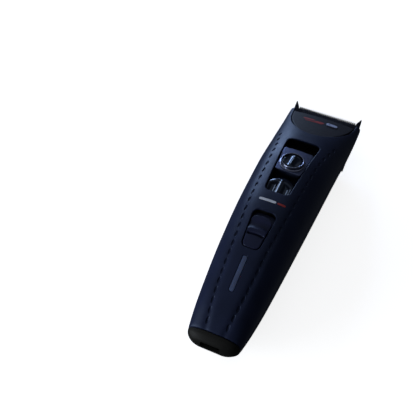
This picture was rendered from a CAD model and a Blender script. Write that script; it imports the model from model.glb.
"""The looks of a cordless hair clipper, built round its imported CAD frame.

+X is to its right, +Y runs to the blade and +Z comes out of its front. Sizes are in millimetres,
and MM turns them into metres as each mesh is made.
"""

import math

import bmesh
import bpy
import numpy as np
from mathutils import Matrix, Vector


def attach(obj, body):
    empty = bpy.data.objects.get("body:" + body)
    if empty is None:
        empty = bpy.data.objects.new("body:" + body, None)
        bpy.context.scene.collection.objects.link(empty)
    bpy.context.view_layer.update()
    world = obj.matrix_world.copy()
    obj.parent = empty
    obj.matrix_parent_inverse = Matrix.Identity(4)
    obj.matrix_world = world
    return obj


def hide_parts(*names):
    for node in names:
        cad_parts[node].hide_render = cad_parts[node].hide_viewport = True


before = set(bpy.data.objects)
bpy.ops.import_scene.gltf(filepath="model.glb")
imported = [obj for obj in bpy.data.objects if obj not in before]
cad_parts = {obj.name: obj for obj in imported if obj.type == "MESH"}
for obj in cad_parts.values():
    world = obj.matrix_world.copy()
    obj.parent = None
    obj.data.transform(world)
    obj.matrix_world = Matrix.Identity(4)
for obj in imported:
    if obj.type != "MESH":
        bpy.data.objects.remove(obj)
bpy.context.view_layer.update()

MM = 0.001
GAP = 0.3
SEAM_GAP = 0.5

# The housing: y, half width, height of its front, height of its back.
BODY_STATIONS = (
    (-90.0, 15.1, 19.3, 5.4),
    (-78.0, 16.8, 26.2, 2.0),
    (-60.0, 18.5, 33.2, 0.0),
    (-38.0, 20.0, 39.5, 0.0),
    (-10.0, 21.4, 43.2, 0.0),
    (20.0, 22.5, 42.0, 0.0),
    (48.0, 23.3, 35.4, 0.0),
    (60.0, 23.8, 31.2, 0.2),
    (72.0, 24.1, 26.4, 2.8),
    (80.0, 24.2, 23.2, 6.0),
    (88.0, 24.1, 20.0, 9.4),
)
SECTION_POWER = 2.7
SEAM_SHARE = 0.47
BACK_BULGE = 1.03
WALL = 2.0
HEAD_END = 88.0
TAIL_SEAM = -89.6
TAIL_END = -95.2
BASE_REAR = 60.4

CAP_STATIONS = (
    (TAIL_SEAM - GAP, 15.1, 19.3, 5.4),
    (-91.6, 14.4, 18.8, 6.3),
    (-93.2, 12.9, 17.8, 7.4),
    (-94.5, 10.9, 16.6, 8.4),
    (TAIL_END, 8.8, 15.4, 9.3),
)
SOCKET_HALF_WIDTH = 5.75
SOCKET_LOW, SOCKET_HIGH = 11.0, 15.4

# Openings: y and half width at the tail end, then at the head end.
WINDOW = ((-6.7, 7.15), (42.4, 10.35))
SWITCH_SLOT = ((-44.7, 5.15), (-20.6, 6.95))
LIGHT_SLOT = ((-68.9, 1.55), (-49.1, 1.55))
PANEL_TAIL = 54.0
PANEL_HALF_WIDTH = 21.0
PANEL_RISE, PANEL_DROP, PANEL_CROWN = 32.2, 0.40, 1.2
COVER_END, COVER_LIP_LOW = 83.4, 16.9
CHANNEL_DEPTH, CHANNEL_WIDTH = 0.42, 1.7
LINER_INSET, LINER_TOP = 0.08, 0.4
BADGE_X, BADGE_Y = 7.6, 75.0
PRINT_LIFT, PRINT_DEPTH = 0.06, 0.2

DIAL_CENTRE = (0.0, 19.6, 40.6)
DIAL_LEAN = -7.5
DIAL_RADIUS, DIAL_FOOT = 5.7, -0.7
PLATE_TAIL, PLATE_HEAD = -8.2, 12.8
COLLAR_RADIUS, COLLAR_TOP = 6.9, 2.3
TRAY_TOP, TRAY_BOTTOM = -7.4, -9.0

BLADE_ORIGIN = (0.0, 61.0, 1.4)
BLADE_LEAN = 22.0
COMB_HALF_WIDTH, COMB_THICKNESS, COMB_TIP, HORN_TIP = 22.7, 1.6, 33.7, 36.9
CUTTER_HALF_WIDTH, CUTTER_THICKNESS, CUTTER_TIP, CUTTER_REAR = 18.5, 1.4, 32.2, 13.0
TOOTH_PITCH, TOOTH_LENGTH = 1.26, 5.0
TOOTH_ROOT, TOOTH_POINT = 1.08, 0.72
VISIBLE_GAP, TOOTH_REACH, HORN_WIDTH = 1.7, 1.2, 2.9

SWITCH_CENTRE_Y, SWITCH_SLOPE = -34.6, 10.8
COMB_SCREW_X, COMB_SCREW_Y = 12.0, 6.0
HOUSING_SCREWS = ((-6.5, -72.0), (6.5, -72.0), (-13.0, 56.4), (13.0, 56.4))

RECESS_RADIUS, RECESS_LOW, RECESS_HIGH = 2.9, -5.0, 6.0

# A screw well in the back: radius, and height over the back.
SCREW_WELL = ((2.5, 4.6), (2.5, 0.5), (2.62, 0.22), (2.9, 0.1), (3.1, 0.6), (3.1, 4.6))

# The rows of small oval notches along both shoulders: y, and how far out from the middle.
NOTCH_LINE = (
    (-87.0, 5.6),
    (-76.0, 7.3),
    (-60.0, 8.8),
    (-44.0, 9.7),
    (-28.0, 11.2),
    (-11.0, 12.4),
    (10.0, 13.3),
    (30.0, 14.6),
    (47.0, 17.3),
)
NOTCH_HALF_WIDTH, NOTCH_HALF_LENGTH, NOTCH_HALF_DEPTH, NOTCH_LIFT = 0.9, 2.1, 0.9, 0.18
NOTCH_PITCH, NOTCH_CLOSER = 6.7, 1.9

CAMERA_PLACE = (73.4, -252.7, 345.0)
CAMERA_AZIMUTH, CAMERA_ELEVATION, CAMERA_ROLL = 25.11, 51.2, -0.38
CAMERA_LENS, SENSOR = 61.36, 36.0


# ---------------------------------------------------------------- curves and sections


def along(stations, column, y):
    """The value in one column at y, on a smooth curve that doesn't overshoot its stations."""
    ys = [row[0] for row in stations]
    values = [row[column] for row in stations]
    steps = [b - a for a, b in zip(ys, ys[1:])]
    slopes = [(b - a) / step for a, b, step in zip(values, values[1:], steps)]
    tangents = [slopes[0]]
    for before, after in zip(slopes, slopes[1:]):
        same_way = before * after > 0
        tangents.append(2 * before * after / (before + after) if same_way else 0.0)
    tangents.append(slopes[-1])
    i = 0
    while i < len(steps) - 1 and y > ys[i + 1]:
        i += 1
    t = (y - ys[i]) / steps[i]
    start = values[i] * (2 * t**3 - 3 * t**2 + 1) + steps[i] * tangents[i] * (t**3 - 2 * t**2 + t)
    end = values[i + 1] * (3 * t**2 - 2 * t**3) + steps[i] * tangents[i + 1] * (t**3 - t**2)
    return start + end


# The housing's curves, read from its stations once, at every tenth of a millimetre.
FINE_YS = np.arange(-95.0, 96.0, 0.1)
FINE = {column: np.array([along(BODY_STATIONS, column, y) for y in FINE_YS]) for column in (1, 2, 3)}


def half_width_at(y):
    return np.interp(y, FINE_YS, FINE[1])


def front_at(y):
    return np.interp(y, FINE_YS, FINE[2])


def back_at(y):
    return np.interp(y, FINE_YS, FINE[3])


def seam_at(y):
    back = back_at(y)
    return back + (front_at(y) - back) * SEAM_SHARE


def surface_at(x, y):
    """The height of the housing's front at x and y."""
    middle = seam_at(y)
    share = np.clip(1 - (np.abs(x) / half_width_at(y)) ** SECTION_POWER, 0.0, 1.0)
    return middle + (front_at(y) - middle) * share ** (1 / SECTION_POWER)


def surface_frame(x, y):
    """A frame on the housing's front: Z out of it, and Y along it to the head."""
    step = 0.05
    slope_x = (surface_at(x + step, y) - surface_at(x - step, y)) / (2 * step)
    slope_y = (surface_at(x, y + step) - surface_at(x, y - step)) / (2 * step)
    out = Vector((-slope_x, -slope_y, 1.0)).normalized()
    forward = Vector((0.0, 1.0, slope_y)).normalized()
    side = forward.cross(out).normalized()
    turn = Matrix((side, out.cross(side), out)).transposed().to_4x4()
    return Matrix.Translation((x, y, float(surface_at(x, y)))) @ turn


def section_arc(stations, y, start, end, count, inset=0.0):
    """Evenly spaced points (x, z) of the section at y, between two angles from +X over the front."""
    half_width = along(stations, 1, y) - inset
    front = along(stations, 2, y)
    back = along(stations, 3, y)
    middle = back + (front - back) * SEAM_SHARE
    angles = np.linspace(start, end, 721)
    across = np.sign(np.cos(angles)) * np.abs(np.cos(angles)) ** (2 / SECTION_POWER)
    up = np.sign(np.sin(angles)) * np.abs(np.sin(angles)) ** (2 / SECTION_POWER)
    z = middle + (front - inset - middle) * up * np.where(up < 0, BACK_BULGE, 1.0)
    z = np.maximum(z, back + inset)
    x = half_width * across
    length = np.concatenate([[0.0], np.cumsum(np.hypot(np.diff(x), np.diff(z)))])
    even = np.linspace(0.0, length[-1], count)
    return np.interp(even, length, x), np.interp(even, length, z)


def roll(distance, radius):
    """How far a rounded edge has drawn in at a distance from it."""
    d = np.clip(distance, 0.0, radius)
    return radius - np.sqrt(np.maximum(radius**2 - (radius - d) ** 2, 0.0))


def smooth_step(value, low, high):
    t = np.clip((value - low) / (high - low), 0.0, 1.0)
    return t * t * (3 - 2 * t)


def rounded_corners(corners, radius, steps=10):
    """The corners of a convex outline, each one turned into an arc."""
    points = []
    for i, corner in enumerate(corners):
        here = Vector(corner)
        to_last = (Vector(corners[i - 1]) - here).normalized()
        to_next = (Vector(corners[(i + 1) % len(corners)]) - here).normalized()
        half_angle = to_last.angle(to_next) / 2
        centre = here + (to_last + to_next).normalized() * radius / math.sin(half_angle)
        start = here + to_last * radius / math.tan(half_angle) - centre
        end = here + to_next * radius / math.tan(half_angle) - centre
        first = math.atan2(start.y, start.x)
        turn = (math.atan2(end.y, end.x) - first + math.pi) % (2 * math.pi) - math.pi
        for step in range(steps + 1):
            angle = first + turn * step / steps
            points.append((centre.x + radius * math.cos(angle), centre.y + radius * math.sin(angle)))
    return np.array(points)


def taper_corners(ends):
    """The corners of an outline that is symmetric about X = 0, counterclockwise."""
    (tail, tail_width), (head, head_width) = ends
    return [(tail_width, tail), (head_width, head), (-head_width, head), (-tail_width, tail)]


def rounded_box(half_width, half_height, radius):
    """A rounded rectangle about the middle."""
    return rounded_corners(taper_corners(((-half_height, half_width), (half_height, half_width))), radius)


def evenly(points, spacing, closed=True):
    """The same line with points at an even spacing."""
    path = np.vstack([points, points[:1]]) if closed else np.array(points)
    length = np.concatenate([[0.0], np.cumsum(np.hypot(*np.diff(path, axis=0).T))])
    count = max(8, int(round(length[-1] / spacing)))
    even = np.linspace(0.0, length[-1], count + 1)
    line = np.column_stack([np.interp(even, length, path[:, k]) for k in (0, 1)])
    return line[:-1] if closed else line


def outward(points, closed=True):
    """Unit normals of a counterclockwise outline, pointing away from what it holds."""
    if closed:
        tangent = np.roll(points, -1, axis=0) - np.roll(points, 1, axis=0)
    else:
        tangent = np.gradient(points, axis=0)
    normal = np.column_stack([tangent[:, 1], -tangent[:, 0]])
    return normal / np.linalg.norm(normal, axis=1)[:, None]


# ---------------------------------------------------------------- meshes and pieces


def mesh_of(name, points, faces):
    mesh = bpy.data.meshes.new(name)
    mesh.from_pydata([tuple(float(v) * MM for v in p) for p in points], [], faces)
    shape = bmesh.new()
    shape.from_mesh(mesh)
    bmesh.ops.remove_doubles(shape, verts=shape.verts, dist=0.001 * MM)
    bmesh.ops.recalc_face_normals(shape, faces=shape.faces)
    shape.to_mesh(mesh)
    shape.free()
    return mesh


def add(name, points, faces, place=None):
    piece = bpy.data.objects.new(name, mesh_of(name, points, faces))
    if place is not None:
        matrix = place.copy()
        matrix.translation = matrix.translation * MM
        piece.data.transform(matrix)
    bpy.context.scene.collection.objects.link(piece)
    return piece


def carve(piece, tool, operation="DIFFERENCE"):
    """Cuts with another mesh, or joins with it; the other mesh is then removed."""
    modifier = piece.modifiers.new("carve", "BOOLEAN")
    modifier.operation = operation
    modifier.solver = "MANIFOLD"
    modifier.object = tool
    apply_all(piece)
    bpy.data.objects.remove(tool)
    return piece


def apply_all(piece):
    bpy.context.view_layer.update()
    seen = piece.evaluated_get(bpy.context.evaluated_depsgraph_get())
    mesh = bpy.data.meshes.new_from_object(seen)
    piece.modifiers.clear()
    piece.data = mesh
    return piece


def round_edges(piece, width, segments=3, angle=35):
    modifier = piece.modifiers.new("rounded edges", "BEVEL")
    modifier.width = width * MM
    modifier.segments = segments
    modifier.limit_method = "ANGLE"
    modifier.angle_limit = math.radians(angle)
    modifier.harden_normals = False
    return apply_all(piece)


def dress(piece, material, body="housing", replaces=(), sharp=32):
    """Finishes a piece: its material, its shading, the body it rides on and the nodes it stands for."""
    piece.data.materials.clear()
    piece.data.materials.append(MATERIALS[material])
    piece.data.shade_smooth()
    piece.data.set_sharp_from_angle(angle=math.radians(sharp))
    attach(piece, body)
    if replaces:
        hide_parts(*replaces)
    return piece


def tube_faces(rows, columns, first=0, closed=True, ring=False):
    """Quads between rows of points; in a ring, the last row meets the first."""
    faces = []
    for i in range(rows if ring else rows - 1):
        here = first + i * columns
        after = first + (i + 1) % rows * columns
        for j in range(columns if closed else columns - 1):
            k = (j + 1) % columns
            faces.append((here + j, after + j, after + k, here + k))
    return faces


def add_tube(name, rows, ends=True, place=None):
    """A piece from rows of points that each go round it, with its two ends closed or left as they are."""
    count = len(rows[0])
    last = (len(rows) - 1) * count
    faces = tube_faces(len(rows), count)
    if ends:
        faces += [tuple(range(count)), tuple(range(last, last + count))]
    return add(name, np.vstack(rows), faces, place)


def prism(name, outline, low, high, place=None):
    """A flat outline between two heights."""
    rows = [[(x, y, z) for x, y in outline] for z in (low, high)]
    return add_tube(name, rows, place=place)


def box_piece(name, low, high, place=None):
    outline = [(low[0], low[1]), (high[0], low[1]), (high[0], high[1]), (low[0], high[1])]
    return prism(name, outline, low[2], high[2], place)


def turned(name, profile, sides=96, place=None):
    """A closed profile of (radius, height) points turned about Z."""
    points = []
    for i in range(sides):
        angle = 2 * math.pi * i / sides
        points += [(r * math.cos(angle), r * math.sin(angle), z) for r, z in profile]
    return add(name, points, tube_faces(sides, len(profile), ring=True), place)


def cylinder(name, radius, low, high, place=None, sides=64):
    angles = [2 * math.pi * i / sides for i in range(sides)]
    circle = [(radius * math.cos(angle), radius * math.sin(angle)) for angle in angles]
    return prism(name, circle, low, high, place)


def leaning(origin, degrees):
    return Matrix.Translation(origin) @ Matrix.Rotation(math.radians(degrees), 4, "X")


DIAL_FRAME = leaning(DIAL_CENTRE, DIAL_LEAN)
BLADE_FRAME = leaning(BLADE_ORIGIN, BLADE_LEAN)
SWITCH_FRAME = leaning((0.0, SWITCH_CENTRE_Y, float(front_at(SWITCH_CENTRE_Y))), SWITCH_SLOPE)


# ---------------------------------------------------------------- materials

BLUE_SHEEN = (0.55, 0.70, 1.0, 1.0)
PATCH = 9.0
BRUSHING = (1.0, 30.0, 30.0)

# Plastics: colour, roughness, and the width and depth of their grain in millimetres.
PLASTICS = {
    "soft_touch": ((0.0112, 0.0150, 0.040), 0.46, 0.22, 0.010),
    "button": ((0.0125, 0.0138, 0.040), 0.42, 0.22, 0.010),
    "cap": ((0.0095, 0.0090, 0.0078), 0.58, 0.35, 0.022),
    "panel": ((0.0068, 0.0060, 0.0125), 0.50, 0.30, 0.016),
    "inner": ((0.004, 0.004, 0.0045), 0.65, 0.5, 0.02),
    "inner_grey": ((0.020, 0.020, 0.022), 0.6, 0.5, 0.02),
    "gloss": ((0.0030, 0.0045, 0.011), 0.13, 0.22, 0.001),
    "badge": ((0.40, 0.45, 0.64), 0.35, 0.3, 0.008),
    "light": ((0.062, 0.086, 0.180), 0.38, 0.4, 0.008),
    "red_print": ((0.34, 0.016, 0.014), 0.48, 0.25, 0.010),
    "white_print": ((0.70, 0.72, 0.80), 0.48, 0.25, 0.010),
    "cell": ((0.03, 0.16, 0.22), 0.4, 0.6, 0.012),
    "board": ((0.012, 0.085, 0.035), 0.4, 0.5, 0.01),
    "chip": ((0.012, 0.012, 0.013), 0.5, 0.3, 0.01),
    "rubber": ((0.014, 0.014, 0.014), 0.85, 0.6, 0.04),
    "lead_red": ((0.42, 0.02, 0.015), 0.5, 0.4, 0.01),
    "lead_black": ((0.012, 0.012, 0.012), 0.5, 0.4, 0.01),
}

# What some of them set on the shader's other sockets.
SOCKETS = {
    "soft_touch": {"Specular IOR Level": 0.30, "Specular Tint": BLUE_SHEEN},
    "button": {"Specular IOR Level": 0.34, "Specular Tint": BLUE_SHEEN},
    "cap": {"Specular IOR Level": 0.18},
    "panel": {"Specular IOR Level": 0.30},
    "inner": {"Specular IOR Level": 0.15},
    "gloss": {"Specular IOR Level": 0.75, "Specular Tint": BLUE_SHEEN},
    "light": {"Subsurface Weight": 0.15},
}
FLOOR_SOCKETS = {
    "Specular IOR Level": 0.0,
    "Emission Color": (1.0, 1.0, 1.0, 1.0),
    "Emission Strength": 0.84,
}

# Metals: colour, roughness, and where it differs the stretch of the brushing and its depth.
METALS = {
    "plate": ((0.105, 0.125, 0.225), 0.36, (8.0, 1.0, 1.0), 0.003),
    "ring": ((0.24, 0.26, 0.36), 0.26, (1.0, 1.0, 14.0), 0.003),
    "blade": ((0.022, 0.024, 0.036), 0.46, (14.0, 1.0, 1.0)),
    "steel": ((0.55, 0.55, 0.56), 0.32),
    "brass": ((0.70, 0.52, 0.22), 0.30),
    "nickel": ((0.62, 0.60, 0.55), 0.25),
    "aluminium": ((0.66, 0.66, 0.68), 0.30),
}


def new_material(name, color, roughness, metallic=0.0, sockets=None):
    """A Principled material whose plain values sit on the shader's own sockets."""
    material = bpy.data.materials.new(name)
    material.use_nodes = True
    shader = material.node_tree.nodes["Principled BSDF"]
    values = {"Base Color": (*color, 1.0), "Roughness": roughness, "Metallic": metallic}
    for socket, value in {**values, **(sockets or {})}.items():
        shader.inputs[socket].default_value = value
    return material


def place_of(material, stretch):
    """The surface's own coordinates, stretched."""
    nodes, links = material.node_tree.nodes, material.node_tree.links
    place = nodes.new("ShaderNodeTexCoord")
    mapping = nodes.new("ShaderNodeMapping")
    mapping.inputs["Scale"].default_value = stretch
    links.new(place.outputs["Object"], mapping.inputs["Vector"])
    return mapping.outputs["Vector"]


def noise(material, size, detail, stretch=(1.0, 1.0, 1.0)):
    """Noise whose blobs are about size millimetres across."""
    node = material.node_tree.nodes.new("ShaderNodeTexNoise")
    node.inputs["Scale"].default_value = 1.0 / (size * MM)
    node.inputs["Detail"].default_value = detail
    material.node_tree.links.new(place_of(material, stretch), node.inputs["Vector"])
    return node.outputs["Fac"]


def vary_color(material, factor, color, darker, lighter):
    """Runs from a darker to a lighter shade of the colour over the middle of the noise."""
    nodes, links = material.node_tree.nodes, material.node_tree.links
    ramp = nodes.new("ShaderNodeValToRGB")
    for element, position, share in zip(ramp.color_ramp.elements, (0.35, 0.65), (darker, lighter)):
        element.position = position
        element.color = (*(min(1.0, v * share) for v in color), 1.0)
    links.new(factor, ramp.inputs["Fac"])
    links.new(ramp.outputs["Color"], nodes["Principled BSDF"].inputs["Base Color"])


def vary_roughness(material, factor, low, high):
    nodes, links = material.node_tree.nodes, material.node_tree.links
    spread = nodes.new("ShaderNodeMapRange")
    limits = {"From Min": 0.3, "From Max": 0.7, "To Min": low, "To Max": high}
    for socket, value in limits.items():
        spread.inputs[socket].default_value = value
    links.new(factor, spread.inputs["Value"])
    links.new(spread.outputs["Result"], nodes["Principled BSDF"].inputs["Roughness"])


def bumps(material, height, depth):
    """Small relief, depth millimetres deep."""
    nodes, links = material.node_tree.nodes, material.node_tree.links
    bump = nodes.new("ShaderNodeBump")
    bump.inputs["Strength"].default_value = 0.3
    bump.inputs["Distance"].default_value = depth * MM
    links.new(height, bump.inputs["Height"])
    links.new(bump.outputs["Normal"], nodes["Principled BSDF"].inputs["Normal"])


def moulded(name, color, roughness, grain, depth):
    """Moulded or coated plastic: fine grain, faint patches of colour and of gloss."""
    material = new_material(name, color, roughness, sockets=SOCKETS.get(name))
    vary_color(material, noise(material, PATCH, 4.0), color, 0.9, 1.1)
    vary_roughness(material, noise(material, PATCH / 3, 5.0), roughness * 0.93, roughness * 1.07)
    bumps(material, noise(material, grain, 2.0), depth)
    return material


def metal(name, color, roughness, brush=BRUSHING, depth=0.006):
    """Metal with fine parallel brushing and slight cloudiness."""
    material = new_material(name, color, roughness, metallic=1.0)
    vary_color(material, noise(material, 5.0, 4.0), color, 0.9, 1.08)
    lines = noise(material, 3.0, 4.0, brush)
    vary_roughness(material, lines, roughness * 0.8, roughness * 1.25)
    bumps(material, lines, depth)
    return material


MATERIALS = {name: moulded(name, *look) for name, look in PLASTICS.items()}
MATERIALS.update({name: metal(name, *look) for name, look in METALS.items()})

# What each carried-over CAD node is made of.
CAD_MATERIALS = {
    "inner": ("adjuster_tray", "charging_socket", "switch_housing", "chassis"),
    "inner_grey": ("motor_end_bell", "cam_follower"),
    "steel": (
        *("motor_can", "motor_bracket", "motor_screw_left", "motor_screw_right"),
        *("motor_shaft", "eccentric_pin", "dial_crank", "taper_slide"),
    ),
    "brass": (
        *("shaft_bush", "motor_terminal_left", "motor_terminal_right"),
        *("eccentric_hub", "charging_contact_left", "charging_contact_right"),
    ),
    "nickel": ("battery_tab_front", "battery_tab_rear", "tension_spring"),
    "cell": ("battery_cell",),
    "board": ("circuit_board",),
    "chip": ("charge_controller", "switch_knob"),
    "aluminium": ("capacitor",),
    "light": ("indicator_led",),
    "rubber": ("motor_pad",),
    "lead_red": ("motor_lead_red", "charging_lead_red"),
    "lead_black": ("motor_lead_black", "charging_lead_black"),
}


def paint_cad_nodes():
    for material, names in CAD_MATERIALS.items():
        for name in names:
            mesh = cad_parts[name].data
            mesh.materials.clear()
            mesh.materials.append(MATERIALS[material])


# ---------------------------------------------------------------- housing

ROW_SPACING = 0.9
COLUMNS = 150
RIM = 0.5
PANEL_RIM = 0.9
END_ROLL, TAIL_ROLL = 0.3, 1.0


def housing_ys(start, end):
    near = [0.0, 0.04, 0.1, 0.18, 0.3, 0.45]
    middle = np.linspace(start + 0.6, end - 0.6, int((end - start) / ROW_SPACING))
    return [start + d for d in near] + list(middle) + [end - d for d in near[::-1]]


def channel_depth(y):
    """How deep the soft channel along each row of notches is; it fades out towards the head."""
    return CHANNEL_DEPTH * float(smooth_step(25.0 - y, 0.0, 90.0))


def shell_rows(ys, side):
    """Closed rows round the wall of one half. Side is 1 for the front and -1 for the back."""
    keep = np.maximum if side > 0 else np.minimum
    start = 0.0 if side > 0 else math.pi
    rows = []
    for y in ys:
        back = along(BODY_STATIONS, 3, y)
        limit = back + (along(BODY_STATIONS, 2, y) - back) * SEAM_SHARE + side * SEAM_GAP / 2
        from_end = min(y - ys[0], ys[-1] - y)
        drawn_in = float(roll(from_end, END_ROLL)) + 0.6 * float(roll(y - ys[0], TAIL_ROLL))
        x, z = section_arc(BODY_STATIONS, y, start, start + math.pi, COLUMNS, drawn_in)
        z = keep(z, limit)
        x = x * (1 - roll(np.abs(z - limit), END_ROLL) / np.maximum(np.abs(x), 1.0))
        if side > 0:
            from_row = np.abs(x) - along(NOTCH_LINE, 1, y)
            z = z - channel_depth(y) * np.exp(-((from_row / CHANNEL_WIDTH) ** 2))
        inner_x, inner_z = section_arc(BODY_STATIONS, y, start, start + math.pi, COLUMNS, WALL)
        xs = np.concatenate([x, inner_x[::-1]])
        zs = np.concatenate([z, keep(inner_z, limit)[::-1]])
        rows.append(np.column_stack([xs, np.full_like(xs, y), zs]))
    return rows


def add_rows(name, rows):
    """A closed piece from rows that each go round a wall."""
    count = len(rows[0])
    faces = tube_faces(len(rows), count)
    for first in (0, (len(rows) - 1) * count):
        for j in range(count // 2 - 1):
            faces.append((first + j, first + j + 1, first + count - 2 - j, first + count - 1 - j))
    return add(name, np.vstack(rows), faces)


def notch_tool():
    """All the oval notches of both shoulders as one cutting mesh. They are longer towards the tail."""
    sides, stacks = 24, 12
    (tail, _), (head, _) = NOTCH_LINE[0], NOTCH_LINE[-1]
    points, faces = [], []
    y = head
    while y > tail:
        x = along(NOTCH_LINE, 1, y)
        nearness = 1 - (y - tail) / (head - tail)
        longer, deeper = 1 + 0.1 * nearness, 1 - 0.3 * nearness
        lift = Matrix.Translation((0, 0, NOTCH_LIFT - channel_depth(y)))
        for side in (-1, 1):
            place = surface_frame(side * x, y) @ lift
            first = len(points)
            for i in range(stacks + 1):
                girth = max(math.sin(math.pi * i / stacks), 1e-4)
                up = NOTCH_HALF_DEPTH * math.cos(math.pi * i / stacks) * deeper
                for j in range(sides):
                    angle = 2 * math.pi * j / sides
                    across = NOTCH_HALF_WIDTH * girth * math.cos(angle) * longer
                    ahead = NOTCH_HALF_LENGTH * girth * math.sin(angle) * longer
                    points.append(tuple(place @ Vector((across, ahead, up))))
            faces += tube_faces(stacks + 1, sides, first)
        y -= NOTCH_PITCH - NOTCH_CLOSER * nearness
    return add("notch_tool", points, faces)


def rim(name, edge, radius, depth, closed=True):
    """A rounded lip that follows the housing's surface round an opening, with a wall below it."""
    rows = []
    for point, normal in zip(edge, outward(edge, closed)):
        row = []
        for angle in np.linspace(0.0, math.pi / 2, 8):
            x, y = point + normal * radius * (1 - math.sin(angle))
            row.append((x, y, float(surface_at(x, y)) - radius * (1 - math.cos(angle))))
        foot = float(surface_at(*point)) - radius - depth
        row += [(*point, foot), (*(point + normal * radius), foot)]
        rows.append(row)
    if closed:
        rows.append(rows[0])
    return add_tube(name, rows, ends=not closed)


def liner(name, edge, radius, depth):
    """A dark sleeve inside an opening, from a little below its lip down to the parts in it."""
    rows = []
    for point, normal in zip(edge, outward(edge)):
        near, far = point - normal * LINER_INSET, point + normal * radius
        level = float(surface_at(*point)) - radius
        high, low = level - LINER_TOP, level - depth
        rows.append([(*near, high), (*near, low), (*far, low), (*far, high)])
    rows.append(rows[0])
    return add_tube(name, rows, ends=False)


def opening_edge(ends, radius, spacing=0.35, bowed=0.0):
    """An opening's edge. Where it is bowed, the middle of its head end runs further forward."""
    (tail, _), (head, _) = ends
    x, y = rounded_corners(taper_corners(ends), radius).T
    share = np.clip((y - tail) / (head - tail), 0.0, 1.0) ** 3
    return evenly(np.column_stack([x, y - bowed * (x**2) * share]), spacing)


def panel_edge():
    """The head panel's edge: half an ellipse that opens to the head, counterclockwise."""
    angles = np.linspace(math.pi, 2 * math.pi, 181)
    across = PANEL_HALF_WIDTH * np.cos(angles)
    back = HEAD_END + (HEAD_END - PANEL_TAIL) * np.sin(angles)
    return evenly(np.column_stack([across, back]), 0.4, closed=False)


def build_front_shell():
    shell = add_rows("front_shell_skin", shell_rows(housing_ys(TAIL_SEAM, HEAD_END), 1))
    openings = (
        ("window", opening_edge(WINDOW, 3.0), RIM, 5.6),
        ("switch_slot", opening_edge(SWITCH_SLOT, 3.2, bowed=0.018), RIM, 2.8),
        ("light_slot", opening_edge(LIGHT_SLOT, 0.9, spacing=0.2), 0.25, 1.5),
    )
    for name, edge, radius, _ in openings:
        carve(shell, prism(f"{name}_tool", edge + outward(edge) * radius, 20.0, 60.0))
    panel = panel_edge()
    grown = panel + outward(panel, closed=False) * PANEL_RIM
    past = [(grown[-1][0], HEAD_END + 10), (grown[0][0], HEAD_END + 10)]
    carve(shell, prism("panel_tool", np.vstack([grown, past]), 8.0, 60.0))
    carve(shell, notch_tool())
    dress(shell, "soft_touch", replaces=("front_shell",))
    for name, edge, radius, depth in openings:
        lip = rim(f"{name}_rim", edge, radius, min(depth, 0.5))
        dress(lip, "soft_touch", sharp=50)
        dress(liner(f"{name}_liner", edge, radius, depth), "inner", sharp=50)
    lip = rim("panel_rim", panel, PANEL_RIM, 3.2, closed=False)
    dress(lip, "soft_touch", sharp=50)


def build_rear_shell():
    shell = add_rows("rear_shell_skin", shell_rows(housing_ys(TAIL_SEAM, BASE_REAR - GAP), -1))
    for i, (x, y) in enumerate(HOUSING_SCREWS):
        place = Matrix.Translation((x, y, 0.0))
        carve(shell, cylinder(f"recess_tool_{i}", RECESS_RADIUS, RECESS_LOW, RECESS_HIGH, place))
        low = float(back_at(y))
        well = turned(f"screw_well_{i + 1}", [(r, z + low) for r, z in SCREW_WELL], 48, place)
        dress(well, "soft_touch")
    dress(shell, "soft_touch", replaces=("rear_shell",))


def build_blade_base():
    rows = []
    for y in [BASE_REAR, *np.linspace(BASE_REAR + 0.3, HEAD_END, 34)]:
        x, z = section_arc(BODY_STATIONS, y, math.pi, 2 * math.pi, COLUMNS)
        z = np.minimum(z, float(seam_at(y)) - SEAM_GAP / 2)
        rows.append(np.column_stack([x, np.full_like(x, y), z]))
    base = add_tube("blade_base_moulding", rows)
    top = COMB_THICKNESS + GAP
    carve(base, box_piece("comb_space", (-30, -14, top - 20), (30, 45, top), BLADE_FRAME))
    carve(base, box_piece("cheek_space", (-20.8, BASE_REAR - 3, -2.0), (20.8, HEAD_END + 3, 30.0)))
    carve(base, box_piece("comb_seat", (-21.2, 1.7, top), (21.2, 11.5, top + 3.0), BLADE_FRAME), "UNION")
    dress(base, "cap", replaces=("blade_base",))


def build_end_cap():
    edge = TAIL_SEAM - GAP
    ys = [*np.linspace(TAIL_END, TAIL_END + 1.4, 16), *np.linspace(TAIL_END + 1.6, edge - 0.3, 18)]
    ys += [edge - d for d in (0.2, 0.12, 0.05, 0.0)]
    insets = [float(roll(edge - y, 0.45)) + float(roll(y - TAIL_END, 0.8)) * 0.8 for y in ys]
    ys += [edge, -92.0, -93.4]
    insets += [1.8, 1.9, 2.2]
    rows = []
    for y, inset in zip(ys, insets):
        x, z = section_arc(CAP_STATIONS[::-1], y, 0.0, 2 * math.pi, 221, inset)
        rows.append(np.column_stack([x, np.full_like(x, y), z])[:-1])
    cap = add_tube("end_cap_shell", rows)
    middle = (SOCKET_LOW + SOCKET_HIGH) / 2
    slot = rounded_box(SOCKET_HALF_WIDTH, (SOCKET_HIGH - SOCKET_LOW) / 2, 1.3)
    upright = Matrix.Translation((0, 0, middle)) @ Matrix.Rotation(math.radians(90), 4, "X")
    carve(cap, prism("charging_slot_tool", slot, 85.0, 100.0, upright))
    dress(cap, "cap", replaces=("end_cap",), sharp=40)


# ---------------------------------------------------------------- head


def panel_height(x, y):
    return PANEL_RISE - PANEL_DROP * (y - PANEL_TAIL) - PANEL_CROWN * (x / PANEL_HALF_WIDTH) ** 2


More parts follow.
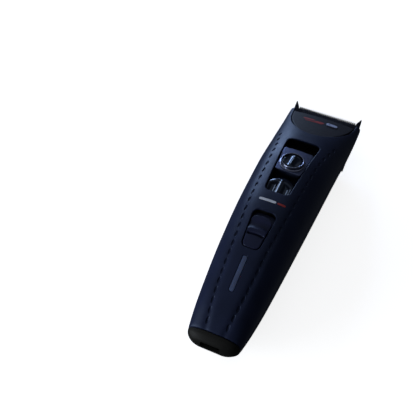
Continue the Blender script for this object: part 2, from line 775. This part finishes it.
def build_head_cover():
    """The panel over the blades: rounded all along its edge, with a lip turned down at its head end."""
    depth = HEAD_END - PANEL_TAIL - GAP
    start = PANEL_TAIL + GAP
    near = [0.02, 0.1, 0.3, 0.6, 1.0, 1.6]
    ys = [start + d for d in near] + list(np.linspace(start + 2.2, COVER_END - 0.7, 50))
    ys += [COVER_END - d for d in (0.5, 0.35, 0.22, 0.12, 0.05, 0.0)]
    rows = []
    for y in ys:
        share = (HEAD_END - y) / depth
        reach = (PANEL_HALF_WIDTH - GAP) * math.sqrt(max(1 - share**2, 0.0))
        xs = np.linspace(-1.0, 1.0, 75)
        xs = reach * np.sign(xs) * (1 - (1 - np.abs(xs)) ** 1.3)
        end_roll = float(roll(COVER_END - y, 0.5))
        top = panel_height(xs, y) - roll(reach - np.abs(xs), 0.35) - end_roll
        upper = np.column_stack([xs, np.full_like(xs, y), top])
        lower = np.column_stack([xs, np.full_like(xs, y), panel_height(xs, y) - 1.6])[::-1]
        rows.append(np.vstack([upper, lower]))
    cover = add_rows("head_cover_panel", rows)
    lip_top = float(panel_height(19.8, COVER_END)) - 0.8
    lip = box_piece("cover_lip", (-19.8, COVER_END - 1.2, COVER_LIP_LOW), (19.8, COVER_END, lip_top))
    carve(cover, lip, "UNION")
    dress(cover, "panel", replaces=("head_cover",), sharp=45)


def on_panel(x, y):
    """A frame on the panel: Z out of it."""
    lean = -math.degrees(math.atan(PANEL_DROP))
    side_lean = math.atan(2 * PANEL_CROWN * x / PANEL_HALF_WIDTH**2)
    return leaning((x, y, float(panel_height(x, y))), lean) @ Matrix.Rotation(side_lean, 4, "Y")


def build_panel_marks():
    """A blank plate with a plain dot, where the real one carries a mark."""
    place = on_panel(BADGE_X, BADGE_Y)
    plate = prism("badge_plate", rounded_box(3.6, 1.7, 1.4), 0.05, 0.7, place)
    round_edges(plate, 0.22)
    dress(plate, "badge", replaces=("badge",), sharp=40)
    dot = cylinder("badge_dot", 0.55, 0.6, 0.74, place @ Matrix.Translation((-1.7, 0.1, 0)), sides=32)
    dress(dot, "button")


def tooth_line(half_width, rear, tip, length, count):
    """A blade's outline, from one rear corner round its teeth to the other."""
    half_tooth = (
        (TOOTH_ROOT / 2, length),
        (TOOTH_ROOT / 2 - 0.04, length * 0.6),
        (TOOTH_POINT / 2, 0.25),
        (TOOTH_POINT / 4, 0.0),
    )
    points = [(half_width, rear)]
    first = (count - 1) / 2 * TOOTH_PITCH
    for i in range(count):
        x = first - i * TOOTH_PITCH
        points += [(x + across, tip - back) for across, back in half_tooth]
        points += [(x - across, tip - back) for across, back in half_tooth[::-1]]
    return [*points, (-half_width, rear)]


def thin_tips(piece, tip, length, drop, lift=0.0, edge=99.0, above=0.8):
    """Wedges the teeth towards their tips and lifts what lies outside the edge."""
    back = BLADE_FRAME.copy()
    back.translation = back.translation * MM
    inverse = back.inverted()
    for vertex in piece.data.vertices:
        local = (inverse @ vertex.co) / MM
        share = max(0.0, min(1.0, (local.y - (tip - length)) / length))
        if abs(local.x) < edge:
            if local.z > above:
                local.z -= drop * share**1.4
        else:
            past = max(0.0, local.y - (tip - length)) / (HORN_TIP - tip + length)
            local.z += lift * past**2
        vertex.co = back @ (local * MM)


def build_comb_blade():
    teeth = tooth_line(COMB_HALF_WIDTH, 0.0, COMB_TIP + TOOTH_REACH, VISIBLE_GAP, 31)
    side, tip = COMB_HALF_WIDTH, COMB_TIP
    outer = [(0.0, -12.0), (0.0, -7.0), (0.05, -3.5), (0.08, -1.2), (0.05, 0.8), (0.0, 2.2)]
    point = [(0.1, 0.15), (0.35, 0.5), (0.85, 0.3)]
    inner = [(1.45, 2.3), (2.1, 1.5), (2.55, 0.8), (2.75, 0.3), (2.85, -0.1)]
    horn = [(side + out, tip + ahead) for out, ahead in outer]
    horn += [(side - back, HORN_TIP + ahead) for back, ahead in point]
    horn += [(side - back, tip + ahead) for back, ahead in inner]
    horn.append((side - HORN_WIDTH, tip + TOOTH_REACH - VISIBLE_GAP))
    other = [(-x, y) for x, y in reversed(horn)]
    outline = np.array([teeth[0], *horn, *teeth[1:-1], *other, teeth[-1]])
    comb = prism("comb_blade_ground", outline, 0.0, COMB_THICKNESS, BLADE_FRAME)
    for side in (-1, 1):
        place = BLADE_FRAME @ Matrix.Translation((side * COMB_SCREW_X, COMB_SCREW_Y, 0))
        carve(comb, cylinder(f"comb_hole_{side}", 1.6, -1, 3, place, 32))
    round_edges(comb, 0.1, 2, angle=50)
    edge = COMB_HALF_WIDTH - HORN_WIDTH - 0.05
    thin_tips(comb, COMB_TIP + TOOTH_REACH, TOOTH_LENGTH, 0.55, lift=0.9, edge=edge)
    dress(comb, "blade", replaces=("comb_blade",), sharp=30)


def build_cutter():
    low = COMB_THICKNESS + GAP
    outline = tooth_line(CUTTER_HALF_WIDTH, CUTTER_REAR, CUTTER_TIP, TOOTH_LENGTH - 0.6, 27)
    cutter = prism("cutter_blade_ground", np.array(outline), low, low + CUTTER_THICKNESS, BLADE_FRAME)
    round_edges(cutter, 0.1, 2, angle=50)
    thin_tips(cutter, CUTTER_TIP, TOOTH_LENGTH, 0.6, above=low + 0.7)
    dress(cutter, "blade", "cutter", ("cutter_blade",), sharp=30)


def screw_head(name, radius, height, place, shank, cross=True):
    """A pan head with a driver recess, on its shank."""
    dome = [(0.001, 0.0), (radius, 0.0), (radius, height * 0.45)]
    for angle in np.linspace(0.3, 1.5, 5):
        up = height * (0.45 + 0.55 * math.sin(angle))
        dome.append((radius - height * 0.5 * (1 - math.cos(angle)), up))
    dome.append((0.001, height))
    head = turned(name, dome, 48, place)
    low = (-radius * 0.72, -0.28, height * 0.35)
    high = (radius * 0.72, 0.28, height + 1)
    for turn in (0, 90) if cross else (0,):
        spun = place @ Matrix.Rotation(math.radians(turn), 4, "Z")
        carve(head, box_piece(f"{name}_slot_{turn}", low, high, spun))
    return carve(head, cylinder(f"{name}_shank", 1.1, -shank, 0.2, place, 20), "UNION")


def build_screws():
    for i, (x, y) in enumerate(HOUSING_SCREWS):
        place = Matrix.Translation((x, y, 3.1)) @ Matrix.Rotation(math.pi, 4, "X")
        head = screw_head(f"housing_screw_head_{i + 1}", 2.2, 1.4, place, shank=14.5)
        dress(head, "steel", replaces=(f"housing_screw_{i + 1}",))
    for side, name in ((-1, "left"), (1, "right")):
        spot = (side * COMB_SCREW_X, COMB_SCREW_Y, -GAP)
        place = BLADE_FRAME @ Matrix.Translation(spot) @ Matrix.Rotation(math.pi, 4, "X")
        head = screw_head(f"comb_screw_head_{name}", 2.6, 0.75, place, cross=False, shank=4.2)
        dress(head, "steel", replaces=(f"comb_screw_{name}",))


# ---------------------------------------------------------------- moulded pieces in the front


FAR = 1e9


def edge_distance(x, y, ends, radius):
    """How far inside a rounded, tapered outline a point is; negative outside."""
    corners = np.array(taper_corners(ends))
    inside = np.full(np.broadcast(x, y).shape, FAR)
    outside = np.full_like(inside, FAR)
    centres = []
    for last, here, after in zip(np.roll(corners, 1, axis=0), corners, np.roll(corners, -1, axis=0)):
        to_last = (last - here) / np.linalg.norm(last - here)
        to_next = (after - here) / np.linalg.norm(after - here)
        inside = np.minimum(inside, (x - here[0]) * -to_next[1] + (y - here[1]) * to_next[0] - radius)
        half = math.acos(np.clip(to_last @ to_next, -1, 1)) / 2
        bisector = (to_last + to_next) / np.linalg.norm(to_last + to_next)
        centres.append(here + bisector * radius / math.sin(half))
    for a, b in zip(centres, centres[1:] + centres[:1]):
        span = b - a
        t = np.clip(((x - a[0]) * span[0] + (y - a[1]) * span[1]) / (span @ span), 0.0, 1.0)
        outside = np.minimum(outside, np.hypot(x - a[0] - t * span[0], y - a[1] - t * span[1]))
    return np.where(inside >= 0, inside + radius, radius - outside)


def side_reach(y, ends, radius):
    """The outline's half width at y."""
    low, high = 0.0, max(ends[0][1], ends[1][1]) + 1.0
    for _ in range(40):
        middle = (low + high) / 2
        if float(edge_distance(np.array(middle), np.array(y), ends, radius)) > 0:
            low = middle
        else:
            high = middle
    return low


def near_edge(length, fine, spacing):
    """Distances across a length, fine at both ends."""
    start = [d for d in (0.0, 0.03, 0.08, 0.15, 0.24, 0.35, 0.5, 0.7) if d <= fine]
    inner = np.linspace(start[-1], length - start[-1], max(4, int((length - 2 * start[-1]) / spacing)))
    return np.unique(np.round([*start, *inner, *[length - d for d in start]], 4))


def cushion(name, ends, radius, height, floor, edge=0.4, spacing=0.3, place=None, bowed=0.0, fine=0.7):
    """A moulded piece with a tapered outline, a top at height(x, y) and rounded edges down to its wall."""
    (tail, tail_width), (head, head_width) = ends
    ys = tail + near_edge(head - tail, fine, spacing)
    ys[0] += 0.002
    ys[-1] -= 0.002
    columns = near_edge(2.0 * max(tail_width, head_width), fine, spacing)
    shares = columns / columns[-1] * 2 - 1
    count, total = len(columns), len(ys)
    rows = []
    for y in ys:
        reach = side_reach(y, ends, radius)
        xs = np.sign(shares) * (reach - reach * (1 - np.abs(shares)))
        inside = np.maximum(edge_distance(xs, np.full_like(xs, y), ends, radius), 0.0)
        real_y = y - bowed * xs**2 * np.clip((y - tail) / (head - tail), 0.0, 1.0) ** 3
        rows.append(np.column_stack([xs, real_y, height(xs, real_y) - roll(inside, edge)]))
    grid = np.vstack(rows)
    border = [*range(count)]
    border += [i * count + count - 1 for i in range(1, total)]
    border += [(total - 1) * count + j for j in range(count - 2, -1, -1)]
    border += [i * count for i in range(total - 2, 0, -1)]
    first = len(grid)
    foot = [(grid[i][0], grid[i][1], floor(grid[i][0], grid[i][1])) for i in border]
    faces = tube_faces(total, count, closed=False)
    for i in range(len(border)):
        k = (i + 1) % len(border)
        faces.append((border[i], border[k], first + k, first + i))
    faces.append(tuple(range(first, first + len(border))))
    return add(name, np.vstack([grid, foot]), faces, place)


def tray_floor(x, y):
    return TRAY_TOP + GAP


def window_ends(tail, head, inset):
    """A stretch of the window in the dial's frame."""
    (first, first_width), (last, last_width) = WINDOW
    grow = (last_width - first_width) / (last - first)
    middle = DIAL_CENTRE[1]
    return tuple((y, first_width + grow * (y + middle - first) - inset) for y in (tail, head))


def build_adjuster():
    plate = cushion(
        "adjuster_plate_satin",
        window_ends(PLATE_TAIL, PLATE_HEAD, 0.4),
        1.4,
        lambda x, y: -0.35 * (x / 9.0) ** 2,
        tray_floor,
        edge=0.5,
        spacing=0.6,
        place=DIAL_FRAME,
    )
    carve(plate, cylinder("ring_recess", COLLAR_RADIUS + 0.45, -1.0, 3.0, DIAL_FRAME, 96))
    carve(plate, cylinder("plate_bore", 2.3, TRAY_BOTTOM, 1.0, DIAL_FRAME, 48))
    dress(plate, "plate", replaces=("adjuster_plate",), sharp=40)

    outer, inner, top = COLLAR_RADIUS, DIAL_RADIUS + 0.4, COLLAR_TOP
    foot = [(inner, DIAL_FOOT), (outer, DIAL_FOOT), (outer, 0.05)]
    flange = [(0.62, 0.05), (0.7, 0.12), (0.68, 0.24), (0.55, 0.34), (0.4, 0.36), (0.1, 0.40), (-0.02, 0.50)]
    collar = [(0.04, 0.7), (0.08, 0.4), (0.18, 0.15), (0.32, 0.02), (0.45, 0.0)]
    bore = [(0.2, 0.02), (0.06, 0.1), (0.0, 0.25)]
    profile = foot + [(outer + out, z) for out, z in flange]
    profile += [(outer - back, top - down) for back, down in collar]
    profile += [(inner + out, top - down) for out, down in bore]
    ring = turned("dial_ring_collar", profile, 128, DIAL_FRAME)
    dress(ring, "ring", replaces=("dial_ring",), sharp=40)
    build_dial()


def dial_height(x, y):
    """The dial's face: a dome that is dished on both sides of a rounded ridge."""
    r = np.hypot(x, y)
    face = COLLAR_TOP - 0.3
    dome = face + 0.15 - 0.30 * (r / DIAL_RADIUS) ** 2 - roll(np.maximum(DIAL_RADIUS - r, 0.0), 0.7)
    fade = smooth_step(5.1 - np.abs(y), 0.0, 1.4)
    hollow = 0.35 * np.exp(-(((np.abs(x) - 2.8) / 2.0) ** 2)) * fade
    ridge = 0.85 * np.exp(-((np.abs(x) / (0.85 - 0.045 * y)) ** 2)) * fade
    return dome - hollow + ridge


def build_dial():
    sides, rolled = 144, 0.6
    shoulder = DIAL_RADIUS - rolled
    radii = [*np.linspace(0.0, shoulder, 44)[1:]]
    radii += [*(shoulder + rolled * np.sin(np.linspace(0.15, math.pi / 2, 9)))]
    angles = np.linspace(0.0, 2 * math.pi, sides, endpoint=False)
    points = [(0.0, 0.0, float(dial_height(0.0, 0.0)))]
    for r in radii:
        x, y = r * np.cos(angles), r * np.sin(angles)
        points += list(zip(x, y, dial_height(x, y)))
    foot = len(points)
    points += [(DIAL_RADIUS * math.cos(a), DIAL_RADIUS * math.sin(a), DIAL_FOOT) for a in angles]
    faces = [(0, 1 + j, 1 + (j + 1) % sides) for j in range(sides)]
    faces += tube_faces(len(radii) + 1, sides, 1)
    faces.append(tuple(range(foot, foot + sides)))
    dial = add("taper_dial_knob", points, faces, DIAL_FRAME)
    carve(dial, cylinder("dial_stem", 1.8, TRAY_BOTTOM - 0.5, -0.5, DIAL_FRAME, 48), "UNION")
    dress(dial, "gloss", "taper_dial", ("taper_dial",), sharp=50)


SADDLE_CREST = -16.0
RIB_HALF_WIDTH = 1.25


def pocket(x, y):
    """How far inside one of the two finger rests a point is; negative outside."""
    across = np.abs(x)
    crest_line = SADDLE_CREST - 0.4 - 0.075 * across**2
    inside = np.minimum(across - RIB_HALF_WIDTH, crest_line - y)
    return np.minimum(inside, 6.4 - across)


def saddle_height(x, y):
    """An arch that falls away ahead of its crest, with two scooped rests and a rib between them."""
    ahead = np.maximum(y - (SADDLE_CREST - 0.06 * x**2), 0.0)
    behind = np.maximum((SADDLE_CREST - 0.06 * x**2) - y, 0.0)
    arch = -1.1 - 0.010 * x**2 - 0.075 * ahead**2 - 0.19 * behind
    depth = np.maximum(pocket(x, y), 0.0)
    scoop = 1.15 * (1 - np.exp(-((depth / 1.1) ** 2))) + 0.05 * depth
    rib = 0.4 * np.exp(-((np.abs(x) / 0.9) ** 2))
    rib = rib * smooth_step(SADDLE_CREST + 2.0 - y, 0.0, 3.0)
    return np.maximum(arch + rib - scoop, TRAY_TOP + 1.0)


def build_thumb_saddle():
    tail = WINDOW[0][0] - DIAL_CENTRE[1] + 0.5
    saddle = cushion(
        "thumb_saddle_gloss",
        window_ends(tail, PLATE_TAIL - GAP, 0.5),
        1.6,
        saddle_height,
        tray_floor,
        edge=0.35,
        spacing=0.17,
        place=DIAL_FRAME,
    )
    dress(saddle, "gloss", replaces=("thumb_saddle",), sharp=60)


def button_height(x, y):
    """The button's face over the housing's: nose, finger scoop, ridge, cross groove and flat."""
    base = front_at(y)
    bent = y + 0.02 * x**2
    scoop = -1.0 * np.exp(-(((bent + 29.6) / 2.4) ** 2))
    nose = 0.30 * smooth_step(bent, -28.0, -26.6)
    ridge = 0.85 * np.exp(-(((bent + 33.7) / 1.15) ** 2))
    groove = -1.5 * np.exp(-(((bent + 36.2) / 0.68) ** 4)) * (1 - smooth_step(np.abs(x), 4.3, 4.9))
    crown = -0.010 * x**2
    return base + 0.05 + scoop + nose + ridge + groove + crown


def build_power_button():
    tail, head = SWITCH_SLOT[0][0] + GAP, -24.9
    (first, first_width), (last, last_width) = SWITCH_SLOT
    head_width = first_width + (last_width - first_width) * (head - first) / (last - first)
    ends = ((tail + 0.12, first_width - 0.48), (head, head_width - 0.48))
    button = cushion(
        "power_button_cap",
        ends,
        2.7,
        button_height,
        lambda x, y: float(front_at(y)) - 5.2,
        edge=0.45,
        spacing=0.24,
        bowed=0.03,
    )
    flange = box_piece("flange", (-7.6, -14.0, -5.4), (7.6, 15.0, -4.0), SWITCH_FRAME)
    carve(button, flange, "UNION")
    dress(button, "button", "power_switch", ("power_button",), sharp=50)


def build_light_pipe():
    tail, head = LIGHT_SLOT[0][0] + 0.2, LIGHT_SLOT[1][0] - 0.2
    pipe = cushion(
        "light_pipe_lens",
        ((tail, 1.35), (head, 1.35)),
        0.8,
        lambda x, y: front_at(y) + 0.02 - 0.05 * x**2,
        lambda x, y: float(front_at(y)) - 3.4,
        edge=0.3,
        spacing=0.35,
        fine=0.35,
    )
    carve(pipe, box_piece("pipe_stem", (-1.2, -55.2, 26.3), (1.2, -52.2, 33.0)), "UNION")
    dress(pipe, "light", replaces=("light_pipe",), sharp=50)


def printed_bar(name, centre, half_length, half_width, material, height):
    """A thin printed bar with rounded ends that follows the surface it lies on."""
    columns, lanes = 48, 6
    rows = []
    for i in range(columns + 1):
        x = -half_length * math.cos(math.pi * i / columns)
        past = max(abs(x) - (half_length - half_width), 0.0)
        reach = math.sqrt(max(half_width**2 - past**2, 0.0004))
        line = [(centre[0] + x, centre[1] + reach * (2 * j / lanes - 1)) for j in range(lanes + 1)]
        top = [(*spot, float(height(*spot)) + PRINT_LIFT) for spot in line]
        foot = [(*spot, float(height(*spot)) - PRINT_DEPTH) for spot in line[::-1]]
        rows.append([*top, *foot])
    return dress(add_rows(name, rows), material)


def build_printed_bars():
    """Plain printed bars, where the real one carries lettering."""
    printed_bar("printed_bar_white", (-2.1, -14.0), 5.0, 0.8, "white_print", surface_at)
    printed_bar("printed_bar_red", (6.1, -14.0), 2.4, 0.62, "red_print", surface_at)
    stripes = ((-7.9, 76.2, 3.9, 0.8), (-0.6, 75.2, 3.0, 0.8), (-4.2, 73.7, 5.8, 0.5))
    for i, (x, y, half_length, half_width) in enumerate(stripes):
        name = f"red_stripe_{i + 1}"
        printed_bar(name, (x, y), half_length, half_width, "red_print", panel_height)


# ---------------------------------------------------------------- studio

# Lights: place and aim in metres, size, watts and colour.
LIGHTS = (
    ("window", (-1.0, 1.37, 0.36), (0.0, 0.03, 0.03), (0.85, 0.45), 16.0, (0.50, 0.67, 1.0)),
    ("overhead", (-0.4, 0.3, 1.5), (0, 0, 0), (2.4, 2.4), 3.8, (0.93, 0.96, 1.0)),
    ("glint", (-0.9, 0.75, 0.75), (0.0, 0.03, 0.03), (0.18, 0.18), 1.1, (0.72, 0.84, 1.0)),
    ("left", (-0.26, -0.30, 0.08), (0.0, -0.09, 0.02), (0.2, 0.14), 0.85, (0.85, 0.92, 1.0)),
)


def add_camera():
    azimuth, elevation, turn = (math.radians(v) for v in (CAMERA_AZIMUTH, CAMERA_ELEVATION, CAMERA_ROLL))
    level = math.cos(elevation)
    back = Vector((math.sin(azimuth) * level, -math.cos(azimuth) * level, math.sin(elevation)))
    right = Vector((0, 0, 1)).cross(back).normalized()
    up = back.cross(right)
    side = right * math.cos(turn) + up * math.sin(turn)
    top = up * math.cos(turn) - right * math.sin(turn)
    data = bpy.data.cameras.new("photo_camera")
    data.lens = CAMERA_LENS
    data.sensor_width = SENSOR
    data.clip_start = 0.01
    camera = bpy.data.objects.new("photo_camera", data)
    facing = Matrix((side, top, back)).transposed().to_4x4()
    camera.matrix_world = Matrix.Translation(Vector(CAMERA_PLACE) * MM) @ facing
    bpy.context.scene.collection.objects.link(camera)
    bpy.context.scene.camera = camera


def area_light(name, place, aim, size, power, color):
    data = bpy.data.lights.new(name, "AREA")
    data.shape = "RECTANGLE"
    data.size, data.size_y = size
    data.energy = power
    data.color = color
    lamp = bpy.data.objects.new(name, data)
    lamp.location = place
    lamp.rotation_mode = "QUATERNION"
    lamp.rotation_quaternion = (Vector(aim) - Vector(place)).to_track_quat("-Z", "Y")
    bpy.context.scene.collection.objects.link(lamp)


def add_studio():
    half = 3.0
    floor = bpy.data.objects.new("floor", bpy.data.meshes.new("floor"))
    corners = [(-half, -half, 0), (half, -half, 0), (half, half, 0), (-half, half, 0)]
    floor.data.from_pydata(corners, [], [(0, 1, 2, 3)])
    floor.location.z = -0.0002
    floor.data.materials.append(new_material("floor", (0.90, 0.90, 0.90), 0.9, sockets=FLOOR_SOCKETS))
    floor.visible_glossy = False
    floor.visible_diffuse = False
    bpy.context.scene.collection.objects.link(floor)
    for light in LIGHTS:
        area_light(*light)
    world = bpy.data.worlds.new("studio")
    world.use_nodes = True
    backdrop = world.node_tree.nodes["Background"]
    backdrop.inputs["Color"].default_value = (0.80, 0.87, 1.0, 1.0)
    backdrop.inputs["Strength"].default_value = 0.05
    bpy.context.scene.world = world
    bpy.context.scene.view_settings.view_transform = "Standard"


# ---------------------------------------------------------------- everything


add_camera()
add_studio()
paint_cad_nodes()
build_front_shell()
build_rear_shell()
build_blade_base()
build_end_cap()
build_head_cover()
build_panel_marks()
build_comb_blade()
build_cutter()
build_screws()
build_adjuster()
build_thumb_saddle()
build_power_button()
build_light_pipe()
build_printed_bars()
